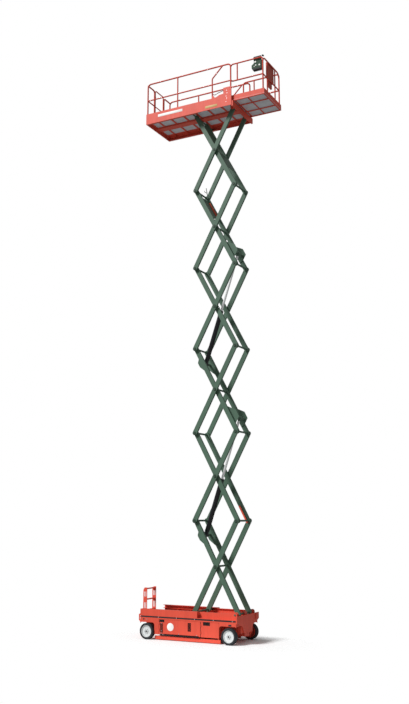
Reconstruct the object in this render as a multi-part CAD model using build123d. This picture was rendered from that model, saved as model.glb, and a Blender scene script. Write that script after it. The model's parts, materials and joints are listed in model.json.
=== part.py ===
from build123d import *
import math
import os

os.makedirs("parts", exist_ok=True)

# All sizes are millimetres. Lengths along X are first given from the fixed scissor pivot line,
# then moved by pivot_x so that the machine stands centred over the origin, wheels on Z = 0.
pivot_x = 855.0

# Scissor stack
arm_length = 2457.0
arm_angle = 62.0
sections = 6
pivot_z = 666.0
arm_depth = 116.0
outer_y0, outer_y1 = 332.0, 390.0
inner_y0, inner_y1 = 264.0, 322.0
pin_radius = 20.0
pin_end = 400.0
play = 0.3
cross_tube_radius = 24.0

# Lift cylinders
barrel_radius = 55.0
rod_radius = 31.0
barrel_length = 1450.0
rod_length = 1700.0
base_pin_along, base_pin_off = 2091.0, 62.0
eye_along, eye_off = 350.0, 110.0

# Wheels and chassis
wheel_radius = 190.5
wheel_width = 127.0
wheel_outer_y = 654.0
rear_axle_x = -2350.0
front_axle_x = -100.0
kingpin_y = 455.0
kingpin_radius = 16.0
stub_radius, stub_end = 20.0, 612.0
core_half = 330.0
skin_in = 586.0
door_rear, door_front, door_top = -2014.0, -375.0, 478.0
deck_sheet = 560.0
lug_x = -2602.0
guard_x0, guard_x1 = -2150.0, -350.0
guard_y0, guard_y1 = 543.0, 568.0
guard_posts = (-1975.0, -405.0)
chassis_rear = -2556.0
chassis_front = 90.0
chassis_half = 600.0
belly_z = 130.0
arch_z = 398.0
front_arch_x = -369.0
beam_top = 706.0
beam_rear_end = -960.0
roller_radius = 33.0
roller_in, roller_out = 545.0, 588.0
seam_z0, seam_z1 = 512.0, 548.0

theta = math.radians(arm_angle)
step_z = arm_length * math.sin(theta)
step_x = arm_length * math.cos(theta)
stack_top = pivot_z + sections * step_z

# Platform
deck_rear = -2583.0
deck_front = 73.0
deck_half = 644.0
deck_low = stack_top - 40.0
deck_floor = stack_top + 90.0
skirt_top = deck_floor + 176.0
skirt_thick = 12.0
deck_roller_in, deck_roller_out = 585.0, 628.0
rail_z = deck_floor + 1088.0
mid_rail_z = deck_floor + 593.0
tube_radius = 20.0
extension_front = 1000.0
loop_rear = -120.0
extension_half = 572.0
extension_low = deck_floor + 6.0
extension_floor = deck_floor + 34.0


def block(x0, x1, y0, y1, z0, z1):
    size = (abs(x1 - x0), abs(y1 - y0), abs(z1 - z0))
    middle = ((x0 + x1) / 2, (y0 + y1) / 2, (z0 + z1) / 2)
    return Pos(*middle) * Box(*size)


def round_y(x, z, radius, y0, y1):
    return Pos(x, (y0 + y1) / 2, z) * Rot(90, 0, 0) * Cylinder(radius, abs(y1 - y0))


def round_z(x, y, radius, z0, z1):
    return Pos(x, y, (z0 + z1) / 2) * Cylinder(radius, z1 - z0)


def round_x(y, z, radius, x0, x1):
    return Pos((x0 + x1) / 2, y, z) * Rot(0, 90, 0) * Cylinder(radius, x1 - x0)


def side_plate(points, y0, y1):
    outline = make_face(Plane.XZ * Polyline(*points, close=True))
    return Pos(0, y1, 0) * extrude(outline, y1 - y0, dir=(0, -1, 0))


def cross_plate(points, x0, x1):
    outline = make_face(Plane.YZ * Polyline(*points, close=True))
    return Pos(x0, 0, 0) * extrude(outline, x1 - x0, dir=(1, 0, 0))


def mirrored(shape):
    return shape + mirror(shape, about=Plane.XZ)


def other_side(shape):
    return mirror(shape, about=Plane.XZ)


def bent_tube(points, radius, bend):
    pts = [Vector(*p) for p in points]
    edges = []
    start = pts[0]
    for before, corner, after in zip(pts, pts[1:], pts[2:]):
        d1 = (corner - before).normalized()
        d2 = (after - corner).normalized()
        turn = math.acos(max(-1.0, min(1.0, d1.dot(d2))))
        cut = bend * math.tan(turn / 2)
        a = corner - d1 * cut
        b = corner + d2 * cut
        towards = (d2 - d1).normalized()
        reach = bend / math.cos(turn / 2) - bend
        edges.append(Line(start, a))
        edges.append(ThreePointArc(a, corner + towards * reach, b))
        start = b
    edges.append(Line(start, pts[-1]))
    path = Wire([e.edge() if hasattr(e, "edge") else e for e in edges])
    first = Plane(origin=pts[0], z_dir=pts[1] - pts[0])
    return sweep(first * Circle(radius), path=path)


def straight_tube(a, b, radius):
    a, b = Vector(*a), Vector(*b)
    span = b - a
    middle = Plane(origin=(a + b) * 0.5, z_dir=span)
    return middle * Cylinder(radius, span.length)


def save(name, shape):
    placed = Pos(pivot_x, 0, 0) * shape
    placed.label = name
    export_step(placed, "parts/" + name + ".step")


def level(k):
    return pivot_z + k * step_z


# Arm frames are drawn flat, X along the arm from its lower end, Z away from the arm's edge.
def bar(y0, y1):
    outline = Plane.XZ * SlotCenterToCenter(arm_length, arm_depth)
    return Pos(arm_length / 2, y1, 0) * extrude(outline, y1 - y0)


def lay_inner(shape, k):
    return Pos(0, 0, level(k - 1)) * Rot(0, -(180 - arm_angle), 0) * shape


def lay_outer(shape, k):
    return Pos(-step_x, 0, level(k - 1)) * Rot(0, -arm_angle, 0) * shape


def inner_frame(k):
    half = bar(inner_y0, inner_y1)
    half += round_y(arm_length, 0, pin_radius, inner_y0, pin_end)
    foot_end = 512.0 if k == 1 else pin_end
    half += round_y(0, 0, pin_radius, inner_y0, foot_end)
    half += round_y(arm_length / 2, 0, pin_radius, inner_y0, pin_end)
    frame = mirrored(half)
    frame += round_y(0, 0, cross_tube_radius, -inner_y0, inner_y0)
    frame += round_y(arm_length, 0, cross_tube_radius, -inner_y0, inner_y0)
    if k in (1, 3, 5, 6):
        frame += round_y(arm_length / 2, 0, cross_tube_radius, -inner_y0, inner_y0)
    if k in (1, 3):
        frame += base_brackets()
    if k in (3, 5):
        frame += eye_brackets()
    if k == 6:
        frame += block(620, 1180, -inner_y0, inner_y0, -56, -48)
        roller = round_y(arm_length, 0, pin_radius, pin_end, deck_roller_out)
        roller += round_y(arm_length, 0, roller_radius, deck_roller_in, deck_roller_out)
        frame += mirrored(roller)
    if k == 5:
        frame += block(1620, 2330, -inner_y0, inner_y0, -4, 4)
        frame += prop_bar(2250, -1)
    if k == 2:
        frame += prop_bar(420, 1)
    return frame


def base_brackets():
    low = arm_depth / 2 - 6
    points = [(2240, -low), (2240, low), (2130, 152), (2000, 150), (1790, low), (1790, -low)]
    side = side_plate(points, 244, 256) + side_plate(
        [(2225, -low), (2225, low), (1805, low), (1805, -low)], 256, 264
    )
    side = fillet(side.edges().filter_by(Axis.Y).group_by(Axis.Z)[-1], 30)
    plates = mirrored(side)
    return plates + round_y(base_pin_along, base_pin_off, 30, -250, 250)


def eye_brackets():
    low = arm_depth / 2 - 6
    points = [(215, low), (215, -low), (318, -208), (505, -210), (700, -low), (700, low)]
    side = side_plate(points, 244, 256) + side_plate(
        [(230, low), (230, -low), (685, -low), (685, low)], 256, 264
    )
    side = fillet(side.edges().filter_by(Axis.Y).group_by(Axis.Z)[0], 25)
    return mirrored(side)


def prop_bar(along, sign):
    arm = block(along - 470, along, 214, 250, sign * 20 - 18, sign * 20 + 18)
    arm += block(along - 60, along - 20, 240, inner_y0, sign * 20 - 18, sign * 20 + 18)
    return arm


def outer_frame(k):
    half = bar(outer_y0, outer_y1)
    reach = [arm_length / 2, arm_length]
    if k > 1:
        reach.append(0)
    for along in reach:
        half -= round_y(along, 0, pin_radius + play, outer_y0 - 5, outer_y1 + 5)
    if k == 1:
        half += round_y(0, 0, pin_radius, outer_y1, roller_out)
        half += round_y(0, 0, roller_radius, roller_in, roller_out)
        return mirrored(half) + round_y(0, 0, cross_tube_radius, -outer_y0, outer_y0)
    return mirrored(half)


for k in range(1, sections + 1):
    save("inner_arms_%d" % k, lay_inner(inner_frame(k), k))
    save("outer_arms_%d" % k, lay_outer(outer_frame(k), k))


# Cylinders are drawn along Z from the base pin, then leaned over towards the rod eye.
def arm_point(k, along, off):
    ux, uz = -math.cos(theta), math.sin(theta)
    nx, nz = -math.sin(theta), -math.cos(theta)
    return (along * ux + off * nx, level(k - 1) + along * uz + off * nz)


def lean(shape, k):
    bx, bz = arm_point(k, base_pin_along, base_pin_off)
    ex, ez = arm_point(k + 2, eye_along, -eye_off)
    tilt = math.degrees(math.atan2(ex - bx, ez - bz))
    return Pos(bx, 0, bz) * Rot(0, tilt, 0) * shape


def true_length(k):
    bx, bz = arm_point(k, base_pin_along, base_pin_off)
    ex, ez = arm_point(k + 2, eye_along, -eye_off)
    return math.hypot(ex - bx, ez - bz)


def barrel():
    body = round_y(0, 0, 52, -60, 60)
    body += round_z(0, 0, barrel_radius, 0, barrel_length - 40)
    body += round_z(0, 0, barrel_radius + 6, barrel_length - 70, barrel_length)
    body += round_z(barrel_radius + 2, 0, 11, 130, barrel_length - 75)
    body -= round_z(0, 0, 46, 75, barrel_length - 70)
    body -= round_z(0, 0, rod_radius + play, 75, barrel_length + 10)
    body -= round_y(0, 0, 30 + play, -70, 70)
    return body


def rod(length):
    body = round_z(0, 0, rod_radius, length - rod_length, length - 20)
    body += round_z(0, 0, 45.5, length - rod_length, length - rod_length + 30)
    body += round_y(0, length, 48, -45, 45)
    body += round_y(0, length, 26, -236, 236)
    body += round_y(0, length, 36, 206, 236) + round_y(0, length, 36, -236, -206)
    return body


for name, k in (("lower", 1), ("upper", 3)):
    save("lift_barrel_" + name, lean(barrel(), k))
    save("lift_rod_" + name, lean(rod(true_length(k)), k))


# Chassis
def kingpin_yoke():
    yoke = block(front_axle_x - 55, front_axle_x + 55, 300, 345, 92, 300)
    for z0, z1 in ((92, 108), (276, 292)):
        yoke += block(front_axle_x - 55, front_axle_x + 55, 320, kingpin_y, z0, z1)
        yoke += round_z(front_axle_x, kingpin_y, 55, z0, z1)
        yoke -= round_z(front_axle_x, kingpin_y, kingpin_radius + play, z0 - 2, z1 + 2)
    return yoke


def rear_axle():
    boss = round_y(rear_axle_x, wheel_radius, 70, core_half, 505)
    boss += block(rear_axle_x - 60, rear_axle_x + 60, core_half, 500, wheel_radius, arch_z)
    return boss + round_y(rear_axle_x, wheel_radius, stub_radius, 505, stub_end)


def lashing_lug():
    outline = [(-2556, 583), (-2556, 400), (-2600, 388), (-2644, 430), (-2644, 560), (-2620, 583)]
    lug = side_plate(outline, 505, 525)
    lug -= round_y(lug_x, 470, 26, 500, 530)
    lug -= round_y(lug_x, 535, 14, 500, 530)
    return lug


def side_skin():
    # the outer skin with its wheel arches and the opening for the two doors
    skin = block(chassis_rear, chassis_front - 12, skin_in, chassis_half, belly_z, seam_z0)
    arch = block(chassis_rear - 10, -2150, skin_in - 5, 640, 100, arch_z)
    arch = fillet(arch.edges().filter_by(Axis.Y).group_by(Axis.Z)[-1], 60)
    front_arch = block(front_arch_x, chassis_front, skin_in - 5, 640, 100, arch_z + 14)
    front_arch = fillet(front_arch.edges().filter_by(Axis.Y).group_by(Axis.Z)[-1], 60)
    skin -= arch + front_arch
    skin -= block(door_rear - 10, door_front + 4, skin_in - 5, 640, belly_z - 5, door_top + 4)
    for x in range(-2030, 0, 503):
        skin += block(x - 8, x + 8, skin_in, chassis_half, seam_z0, seam_z1)
    return skin


def chassis_frame():
    body = block(chassis_rear + 14, chassis_front - 20, -core_half, core_half, 150, seam_z0)
    body -= block(-340, chassis_front, -340, 340, 140, 236)
    body += block(-300, chassis_front - 20, -120, 120, 150, 240)
    body += block(chassis_rear + 8, chassis_front - 12, -578, 578, seam_z0, seam_z1)
    body += block(chassis_rear, chassis_front - 12, -chassis_half, chassis_half, seam_z1, deck_sheet)
    body += block(-2150, front_arch_x - 6, -536, 536, belly_z, 150)
    half = side_skin()
    half += block(chassis_rear, -2150, core_half, skin_in, arch_z, seam_z0)
    half += block(front_arch_x, chassis_front - 12, core_half, skin_in, arch_z + 14, seam_z0)
    half += block(-2145, front_arch_x, core_half, 574, door_top + 6, seam_z0)
    half += block(-2145, -2000, core_half, 574, belly_z, seam_z0)
    half += block(-389, front_arch_x, core_half, 574, belly_z, seam_z0)
    half += block(-884, -850, core_half, 574, 150, seam_z0)
    half += block(-2000, -385, 556, 574, door_top - 16, door_top + 8)
    half += rear_axle()
    half += kingpin_yoke()
    half += lashing_lug()
    for x in guard_posts:
        slot = block(x - 15.3, x + 15.3, guard_y0 - play, 574, belly_z - 10, 478)
        half += block(x - 30, x + 30, 531, 570, 150, 230)
        half -= slot
    half -= block(guard_x0 - 6, guard_x1 + 6, guard_y0 - 6, 578, 100, 206)
    body += mirrored(half)
    body += cross_plate(
        [(-600, 640), (-600, 480), (-300, 400), (-205, 236), (205, 236), (300, 400), (600, 480), (600, 640)],
        chassis_front - 20, chassis_front + 12,
    )
    body += block(chassis_front + 12, chassis_front + 30, 430, 600, 500, 650)
    return body


save("chassis_frame", chassis_frame())


def linkage_seats():
    # slide channels that hold the rollers of the lowest outer arms
    web_in = chassis_half - 8
    low, high = pivot_z - roller_radius - play, pivot_z + roller_radius + play
    half = block(-2556, beam_rear_end, 500, chassis_half, low - 7, beam_top)
    half -= block(-2570, beam_rear_end + 10, 490, web_in, low, high)
    half += block(-2556, beam_rear_end, web_in, chassis_half, deck_sheet, low)
    for x in range(-2500, -960, 380):
        half += block(x - 4, x + 4, 510, web_in, deck_sheet, low - 7)
    half += block(-1000, beam_rear_end, 510, web_in, low, high)
    # inner channel that runs on to the front pivots
    half += block(beam_rear_end, 40, 486, 494, deck_sheet, 694)
    half += block(beam_rear_end, 40, 440, 494, 686, 694)
    half += block(beam_rear_end - 30, beam_rear_end, 486, 510, deck_sheet, low - 7)
    half += pivot_ear(404, 500)
    half -= round_y(0, pivot_z, pin_radius + play, 400, 505)
    seats = mirrored(half)
    return seats + pivot_ear(-60, 60, cross_tube_radius)


def pivot_ear(y0, y1, bore=pin_radius):
    ear = block(-56, 56, y0, y1, deck_sheet, pivot_z)
    ear += round_y(0, pivot_z, 56, y0, y1)
    if y0 > 0:
        ear -= block(-70, 70, y0 + 24, y1 - 24, deck_sheet + 20, pivot_z + 80)
    return ear - round_y(0, pivot_z, bore + play, y0 - 3, y1 + 3)


save("linkage_seats", linkage_seats())


def ladder():
    points = [(-2600, 440), (-2600, 1180), (-2672, 1180), (-2710, 1120), (-2710, 440)]
    side = side_plate(points, 214, 224)
    for z0, z1 in ((960, 1080), (680, 820)):
        side -= block(-2685, -2665, 200, 240, z0, z1)
        side -= block(-2645, -2625, 200, 240, z0, z1)
    foot = block(-2602, chassis_rear + 14, 214, 224, 440, 505)
    steps = block(-2696, -2614, -214, 214, 1136, 1160)
    for z in (880, 620, 480):
        steps += block(-2696, -2614, -214, 214, z, z + 24)
    return mirrored(side + foot) + steps


save("ladder", ladder())

half = block(-1930, -930, 345, 530, 150.3, 440)
save("battery_packs", mirrored(half))
unit = block(-800, -560, 345, 530, 150.3, 400)
unit += round_x(440, 330, 60, -560, -420)
save("hydraulic_unit", unit)


# Doors of the side compartments
def door(x0, x1):
    panel = block(x0, x1, 574.3, chassis_half, belly_z + 4, door_top)
    panel = fillet(panel.edges().filter_by(Axis.Y), 14)
    for z in (210, 370):
        panel += round_z(x0 + 1, 606, 8, z, z + 60)
    return panel


def recess(x0, x1, z0, z1):
    return block(x0, x1, 588, 610, z0, z1)


def rear_door():
    panel = door(door_rear, -874)
    # handle pocket, cooling slots, vent and the open lower edge
    panel -= recess(-2000, -1872, 430, 466)
    for z in range(178, 380, 24):
        panel -= recess(-1988, -1900, z, z + 14)
    for z in range(240, 430, 20):
        panel -= recess(-1216, -1124, z, z + 12)
    panel -= recess(-1990, -910, belly_z, 152)
    return panel


def front_door():
    panel = door(-860, door_front)
    panel -= recess(-790, -618, 420, 468)
    return panel


save("rear_door_left", rear_door())
save("rear_door_right", other_side(rear_door()))
save("front_door_left", front_door())
save("front_door_right", other_side(front_door()))


def guard():
    shape = block(guard_x0, guard_x1, guard_y0, guard_y1, 14, 96)
    for x in guard_posts:
        shape += block(x - 15, x + 15, guard_y0, guard_y1, 96, 380)
    return shape


save("pothole_guard_left", guard())
save("pothole_guard_right", other_side(guard()))


def knuckle():
    x, y = front_axle_x, kingpin_y
    body = round_z(x, y, 48, 108.4, 275.6)
    body += round_z(x, y, kingpin_radius, 88, 296)
    body += round_z(x, y, 34, 292.4, 302)
    body += block(x - 48, x + 48, y, 492, 112, 272)
    body += round_y(x, wheel_radius, 80, 484, 520)
    body += round_y(x, wheel_radius, stub_radius, 520, stub_end)
    return body


save("knuckle_left", knuckle())
save("knuckle_right", other_side(knuckle()))


def revolved(points, x):
    face = make_face(Plane.YZ * Polyline(*points, close=True))
    solid = revolve(face, axis=Axis.Y)
    return Pos(x, 0, wheel_radius) * solid


def tyre(x):
    y0, y1 = wheel_outer_y - wheel_width, wheel_outer_y
    r = wheel_radius
    points = [(y0, 146), (y0, r - 12), (y0 + 12, r), (y1 - 12, r), (y1, r - 12), (y1, 146)]
    points += [(y1 - 8, 142), (y0 + 8, 142)]
    return revolved(points, x)


def rim(x):
    y0, y1 = wheel_outer_y - wheel_width, wheel_outer_y
    points = [
        (y0 + 10, 142), (y1 - 8, 142), (y1 - 4, 134), (y1 - 10, 122), (y1 - 22, 112), (y1 - 22, 62),
        (y1 - 14, 54), (y1 - 14, 36), (y1 - 4, 32), (y1 - 4, 0),
        (stub_end + 5, 0), (stub_end + 5, 20 + play), (y0 + 30, 20 + play), (y0 + 30, 60), (y1 - 45, 66),
        (y1 - 45, 116), (y0 + 10, 128),
    ]
    return revolved(points, x)


for name, x in (("front", front_axle_x), ("rear", rear_axle_x)):
    save("tyre_%s_left" % name, tyre(x))
    save("tyre_%s_right" % name, other_side(tyre(x)))
    save("rim_%s_left" % name, rim(x))
    save("rim_%s_right" % name, other_side(rim(x)))


# Platform, main deck
def deck_frame():
    top_z = level(sections)
    inner = deck_half - skirt_thick
    frame = block(deck_rear + 10, deck_front - 8, -inner, inner, deck_floor - 12, deck_floor)
    rib_low = top_z + pin_radius + 8
    for x in (-2545, -2300, -1905, -1510, -1115, -725, -320):
        frame += block(x - 24, x + 24, -inner, inner, deck_floor - 30, deck_floor - 10)
        frame += block(x - 8, x + 8, 440, inner - 54, rib_low, deck_floor - 10)
        frame += block(x - 8, x + 8, 54 - inner, -440, rib_low, deck_floor - 10)
    frame += block(deck_rear + 10, 66, -100, 100, deck_floor - 59, deck_floor - 10)
    half = block(-250, 66, 556, 568, deck_floor, extension_low - play)
    # upper guide of the rollers at the top of the stack
    half += block(deck_rear + 10, 66, inner - 50, inner, top_z + roller_radius + play, deck_floor - 10)
    ear = block(-56, 56, 404, 432, top_z, deck_floor - 10) + round_y(0, top_z, 56, 404, 432)
    half += ear + round_y(0, top_z, pin_radius, outer_y0, 404)
    frame += mirrored(half)
    frame += block(66, 112, -inner, inner, deck_low - 30, deck_floor - 10)
    return frame


save("deck_frame", deck_frame())


def deck_sides():
    inner = deck_half - skirt_thick
    outline = [(deck_rear, deck_low), (deck_rear, skirt_top), (-520, skirt_top), (-500, skirt_top + 70)]
    outline += [(-465, skirt_top + 70), (-425, skirt_top + 10), (-380, skirt_top + 10)]
    outline += [(-290, skirt_top + 56), (-165, skirt_top + 64)]
    outline += [(-165, skirt_top + 232), (deck_front, skirt_top + 232)]
    outline += [(deck_front, deck_low)]
    half = side_plate(outline, inner, deck_half)
    for z in (skirt_top + 192, skirt_top + 122, skirt_top - 18):
        half -= round_y(deck_front - 34, z, 11, inner - 5, deck_half + 5)
    half += block(deck_rear, deck_rear + 10, 250, inner, deck_low, skirt_top)
    # lower guide of the rollers
    guide_top = level(sections) - roller_radius - play
    half += block(deck_rear + 10, beam_rear_end, inner - 50, inner, deck_low, guide_top)
    panels = mirrored(half)
    panels += block(deck_rear, deck_rear + 10, -250, 250, deck_low, deck_floor)
    return panels


save("deck_sides", deck_sides())


def platform_rails():
    t = tube_radius
    y = deck_half - skirt_thick - play - t
    x = deck_rear + 10 + play + t
    front = deck_front - 8 - t
    side = [(x, y, deck_floor), (x, y, rail_z), (front, y, rail_z), (front, y, deck_floor)]
    half = bent_tube(side, t, 95)
    rear = [(x, y, rail_z - 30), (x, 262, rail_z - 30), (x, 262, deck_floor)]
    half += bent_tube(rear, t, 70)
    half += straight_tube((x, y, mid_rail_z), (x, 262, mid_rail_z), 17)
    half += straight_tube((x, y, mid_rail_z), (front, y, mid_rail_z), 18)
    half += straight_tube((-1590, y, deck_floor), (-1590, y, rail_z), 18)
    loop = [(-512, y, deck_floor), (-512, y, rail_z - 320), (-190, y, rail_z)]
    half += bent_tube(loop, 18, 60)
    return mirrored(half)


save("platform_rails", platform_rails())


def gate():
    gate_low = deck_floor + 128
    x = deck_rear + 10.3 + tube_radius
    body = bent_tube([(x, -222, gate_low), (x, -222, rail_z), (x, 222, rail_z), (x, 222, gate_low)], 16, 60)
    body += straight_tube((x, -222, mid_rail_z), (x, 222, mid_rail_z), 14)
    body += straight_tube((x, -222, gate_low + 30), (x, 222, gate_low + 30), 14)
    for z in (deck_floor + 278, deck_floor + 878):
        body += round_z(x, -222, 19.7, z - 20, z + 20)
    return body


save("entry_gate", gate())


# Roll-out extension deck
def extension_deck():
    toe_top = extension_floor + 134
    front = extension_front
    deck = block(-260, front, -extension_half, extension_half, extension_floor - 8, extension_floor)
    for x in (-248, 140, 510, 980):
        deck += block(x - 12, x + 12, -extension_half, extension_half, extension_low, extension_floor - 8)
    for y in (-554, -220, 220, 554):
        deck += block(-252, front, y - 18, y + 18, extension_low, extension_floor - 8)
    half = block(-260, front, extension_half - 10, extension_half, extension_low, toe_top)
    deck += mirrored(half)
    deck += block(front - 8, front, -extension_half, extension_half, extension_low, toe_top)
    return deck


save("extension_deck", extension_deck())


def extension_rails():
    t = tube_radius
    y = extension_half - 10 - t
    x = extension_front - 2 * t
    z = extension_floor
    # each side is one loop that runs back inside the rails of the main deck
    loop = [(x, y, z), (x, y, rail_z), (loop_rear, y, rail_z), (loop_rear, y, mid_rail_z), (x, y, mid_rail_z)]
    half = bent_tube(loop, t, 80)
    half += straight_tube((210, y, mid_rail_z), (210, y, rail_z), 18)
    rails = mirrored(half)
    rails += bent_tube([(x, -y, z), (x, -y, rail_z), (x, y, rail_z), (x, y, z)], t, 150)
    rails += straight_tube((x, -y, mid_rail_z), (x, y, mid_rail_z), 18)
    for post_y in (-262, 252):
        rails += straight_tube((x, post_y, z), (x, post_y, rail_z), 18)
    return rails


save("extension_rails", extension_rails())

def control_box():
    low, high = rail_z - 305, rail_z - 40
    outline = [(650, low), (622, low + 60), (622, low + 140), (690, low + 190)]
    outline += [(690, high), (905, high), (905, low)]
    box = side_plate(outline, -518, -405)
    box += block(690, 905, -536, -490, high, rail_z + 60)
    box += block(730, 880, -470, -420, high, high + 40)
    return box - straight_tube((400, -542, rail_z), (900, -542, rail_z), tube_radius + play)


save("control_box", control_box())


def document_box():
    # a flat case on the front rails, with a narrow foot below it
    back = extension_front - 2 * tube_radius - tube_radius - play
    case = block(back - 40, back, -205, 225, mid_rail_z + 35, rail_z + 6)
    case += block(back - 44, back, -88, 96, mid_rail_z - 165, mid_rail_z + 35)
    return case


save("document_box", document_box())
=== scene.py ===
import json
import math

import bmesh
import bpy
from bpy.props import FloatProperty, FloatVectorProperty, IntProperty, PointerProperty
from mathutils import Matrix, Vector


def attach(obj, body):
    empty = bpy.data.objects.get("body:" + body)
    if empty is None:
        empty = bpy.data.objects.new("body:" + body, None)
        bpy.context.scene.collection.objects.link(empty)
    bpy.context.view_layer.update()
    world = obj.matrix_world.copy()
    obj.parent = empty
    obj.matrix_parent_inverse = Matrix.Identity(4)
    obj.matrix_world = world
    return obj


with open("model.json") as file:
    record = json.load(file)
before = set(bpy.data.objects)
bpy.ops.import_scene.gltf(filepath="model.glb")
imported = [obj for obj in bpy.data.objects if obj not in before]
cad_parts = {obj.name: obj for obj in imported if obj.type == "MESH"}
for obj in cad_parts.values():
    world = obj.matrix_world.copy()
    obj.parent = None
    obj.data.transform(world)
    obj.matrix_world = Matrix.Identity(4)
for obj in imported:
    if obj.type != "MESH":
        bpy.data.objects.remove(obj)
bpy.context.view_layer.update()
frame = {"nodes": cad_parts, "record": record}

bl_info = {
    "name": "Raised Scissor Lift",
    "version": (1, 0, 0),
    "blender": (4, 5, 0),
    "location": "3D View > Sidebar > Lift",
    "description": "Finishes and small pieces of a raised electric scissor lift",
    "category": "Object",
}

JOINTS = {j["name"]: j for j in frame["record"]["behaviour"]["joints"]}


def joint_place(name):
    return Vector(JOINTS[name]["pos_m"])


# The stack's own grid, read from its joints
PIVOT = joint_place("lift")
ROW = joint_place("scissor_elbow_1").z - PIVOT.z
REACH = 2 * (PIVOT.x - joint_place("scissor_cross_1").x)
SECTIONS = sum(name.startswith("scissor_cross") for name in JOINTS)
STACK_TOP = PIVOT.z + SECTIONS * ROW

# Floors and rails over the top of the stack
FLOOR_Z = STACK_TOP + 0.090
ROLL_FLOOR_Z = FLOOR_Z + 0.034
RAIL_Z = FLOOR_Z + 1.088
MID_RAIL_Z = FLOOR_Z + 0.593

SIDES = (("left", 1), ("right", -1))


def at(x, y, z):
    """A point whose x is counted from the stack's fixed lower pivot."""
    return Vector((PIVOT.x + x, y, z))


def level(k):
    return PIVOT.z + k * ROW


# Faces of the frame's solids, counted outwards from the middle, and how deep a small piece sits in them
SKIN_Y = 0.600
SKIRT_Y = 0.644
SINK = 0.0002

# Side seam of the chassis: strip, clips and the small slots over the wheels
SEAM_X, SEAM_Z, SEAM_Y = (-2.545, 0.062), (0.5125, 0.5475), (0.5775, 0.5915)
SEAM_EDGE = 0.002
SEAM_CLIPS = 5
FIRST_CLIP_X, CLIP_STEP, CLIP_Z = -2.030, 0.503, 0.530
CLIP_HEIGHT = 0.010
TAIL_BOLT, TAIL_BOLT_SHARE = (-2.36, 0.468), 0.9
ARCH_SLOTS = (((-0.125, -0.045), (0.420, 0.458)), ((-2.475, -2.435), (0.452, 0.484)))
ARCH_SLOT_Y = (0.5990, 0.6006)
ARCH_SLOT_EDGE = 0.0004

# Pockets and slots of the side doors, and dark strips of painted shade in the door gaps and below the doors,
# as spans of x and z
REAR_POCKET, REAR_POCKET_FRAME = ((-2.000, -1.872), (0.430, 0.466)), ((-2.006, -1.866), (0.418, 0.478))
FRONT_POCKET, FRONT_POCKET_FRAME = ((-0.790, -0.618), (0.420, 0.468)), ((-0.796, -0.612), (0.402, 0.484))
REAR_LATCH, FRONT_LATCH = ((-1.975, -1.905), (0.436, 0.460)), ((-0.770, -0.700), (0.428, 0.458))
SILL_POCKET = ((-1.990, -0.910), (0.1345, 0.152))
COOLING_SLOTS = [((-1.988, -1.900), (z / 1000, z / 1000 + 0.014)) for z in range(178, 380, 24)]
VENT_SLOTS = [((-1.216, -1.124), (z / 1000, z / 1000 + 0.012)) for z in range(240, 430, 20)]
LINER_GAP = 0.0005
LINER_Y, LATCH_Y = (0.5872, 0.5896), (0.589, 0.597)
LATCH_EDGE = 0.003
FRAME_Y, SLAT_Y = (SKIN_Y - SINK, 0.6016), (SKIN_Y - SINK, 0.6014)
SLAT_Z = (0.0142, 0.0198)
# Painted shade: dark strips that stand for the shadow in the door gaps and below the doors
GAP_SHADE_X, GAP_SHADE_WIDTH = (-2.0325, -0.8690), 0.007
GAP_SHADE_Z, GAP_SHADE_Y = (0.152, 0.505), (0.5860, 0.5975)
SILL_SHADE_STRIP, SILL_SHADE_STRIP_Y = ((-2.000, -0.905), (0.1120, 0.1300)), (0.5860, 0.5985)
DISC_PLACE = (-1.696, 0.318)
DISC_RIM, DISC_EDGE, DISC_HEIGHT = 0.0016, 0.002, 0.0026
DOOR_BOLTS = ((-1.95, 0.166, 0.8), (-1.46, 0.166, 0.8), (-0.97, 0.166, 0.8),
              (-1.944, 0.220, 0.7), (-1.944, 0.392, 0.7))
DOOR_BOLT_Y = 0.5995

# Wheels
DISC_FACE_Y = 0.6245
# Radii of the dark ring line painted as a groove's shade, and of the disc's darker edge towards the tyre
GROOVE_SHADE_RADII, RIM_EDGE_DARK_RADIUS = (0.1195, 0.1240), 0.1335
RING_RADII, RING_WAVES = (0.150, 0.176), 520.0
HUB_Y, NUT_Y = 0.6498, 0.6395
HUB_CAP_RADIUS, HUB_CAP_RIM, HUB_CAP_EDGE, HUB_CAP_HEIGHT = 0.021, 0.0022, 0.004, 0.0034
NUT_CIRCLE, NUT_RADIUS, NUT_HEIGHT = 0.045, 0.0062, 0.008

# Pins of the stack, with a keeper plate under each cap
# Share of the arm green left on the pin caps, keepers and prop hook: their own darker paint, partly painted
# shade at the joints
PIN_PAINTED_SHADE = 0.45
CAP_RIM, CAP_EDGE, CAP_HEIGHT, CAP_DIMPLE, DIMPLE_EDGE = 0.010, 0.003, 0.013, 0.010, 0.002
KEEPER_Y, KEEPER_Z = (0.3902, 0.3962), (-0.052, -0.028)
KEEPER_HALF, KEEPER_EDGE = 0.030, 0.001
KEEPER_BOLT_X, KEEPER_BOLT_Y, KEEPER_BOLT_Z, KEEPER_BOLT_RADIUS = 0.018, 0.396, -0.041, 0.006

# Prop bars in the arms, as spans along and across the arm, and the hook over the upper one
PROP_Y = (0.2130, 0.2506)
LOWER_PROP = ((-0.051, 0.4205), (0.0015, 0.0385))
UPPER_PROP = ((1.7795, 2.2505), (-0.0385, -0.0042))
HOOK_FOOT = (-1.105, 0.232, level(5) - 0.020)
HOOK_REACHES = ((-0.012, 0, 0.150), (-0.040, 0, 0.300), (-0.082, 0, 0.195), (-0.092, 0, 0.230))
HOOK_RADIUS, FORK_RADIUS = 0.009, 0.008
HOOK_PAD_BELOW, HOOK_PAD_ABOVE, HOOK_PAD_EDGE = (0.025, 0.012, 0.020), (0.025, 0.012, 0.008), 0.003

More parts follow.
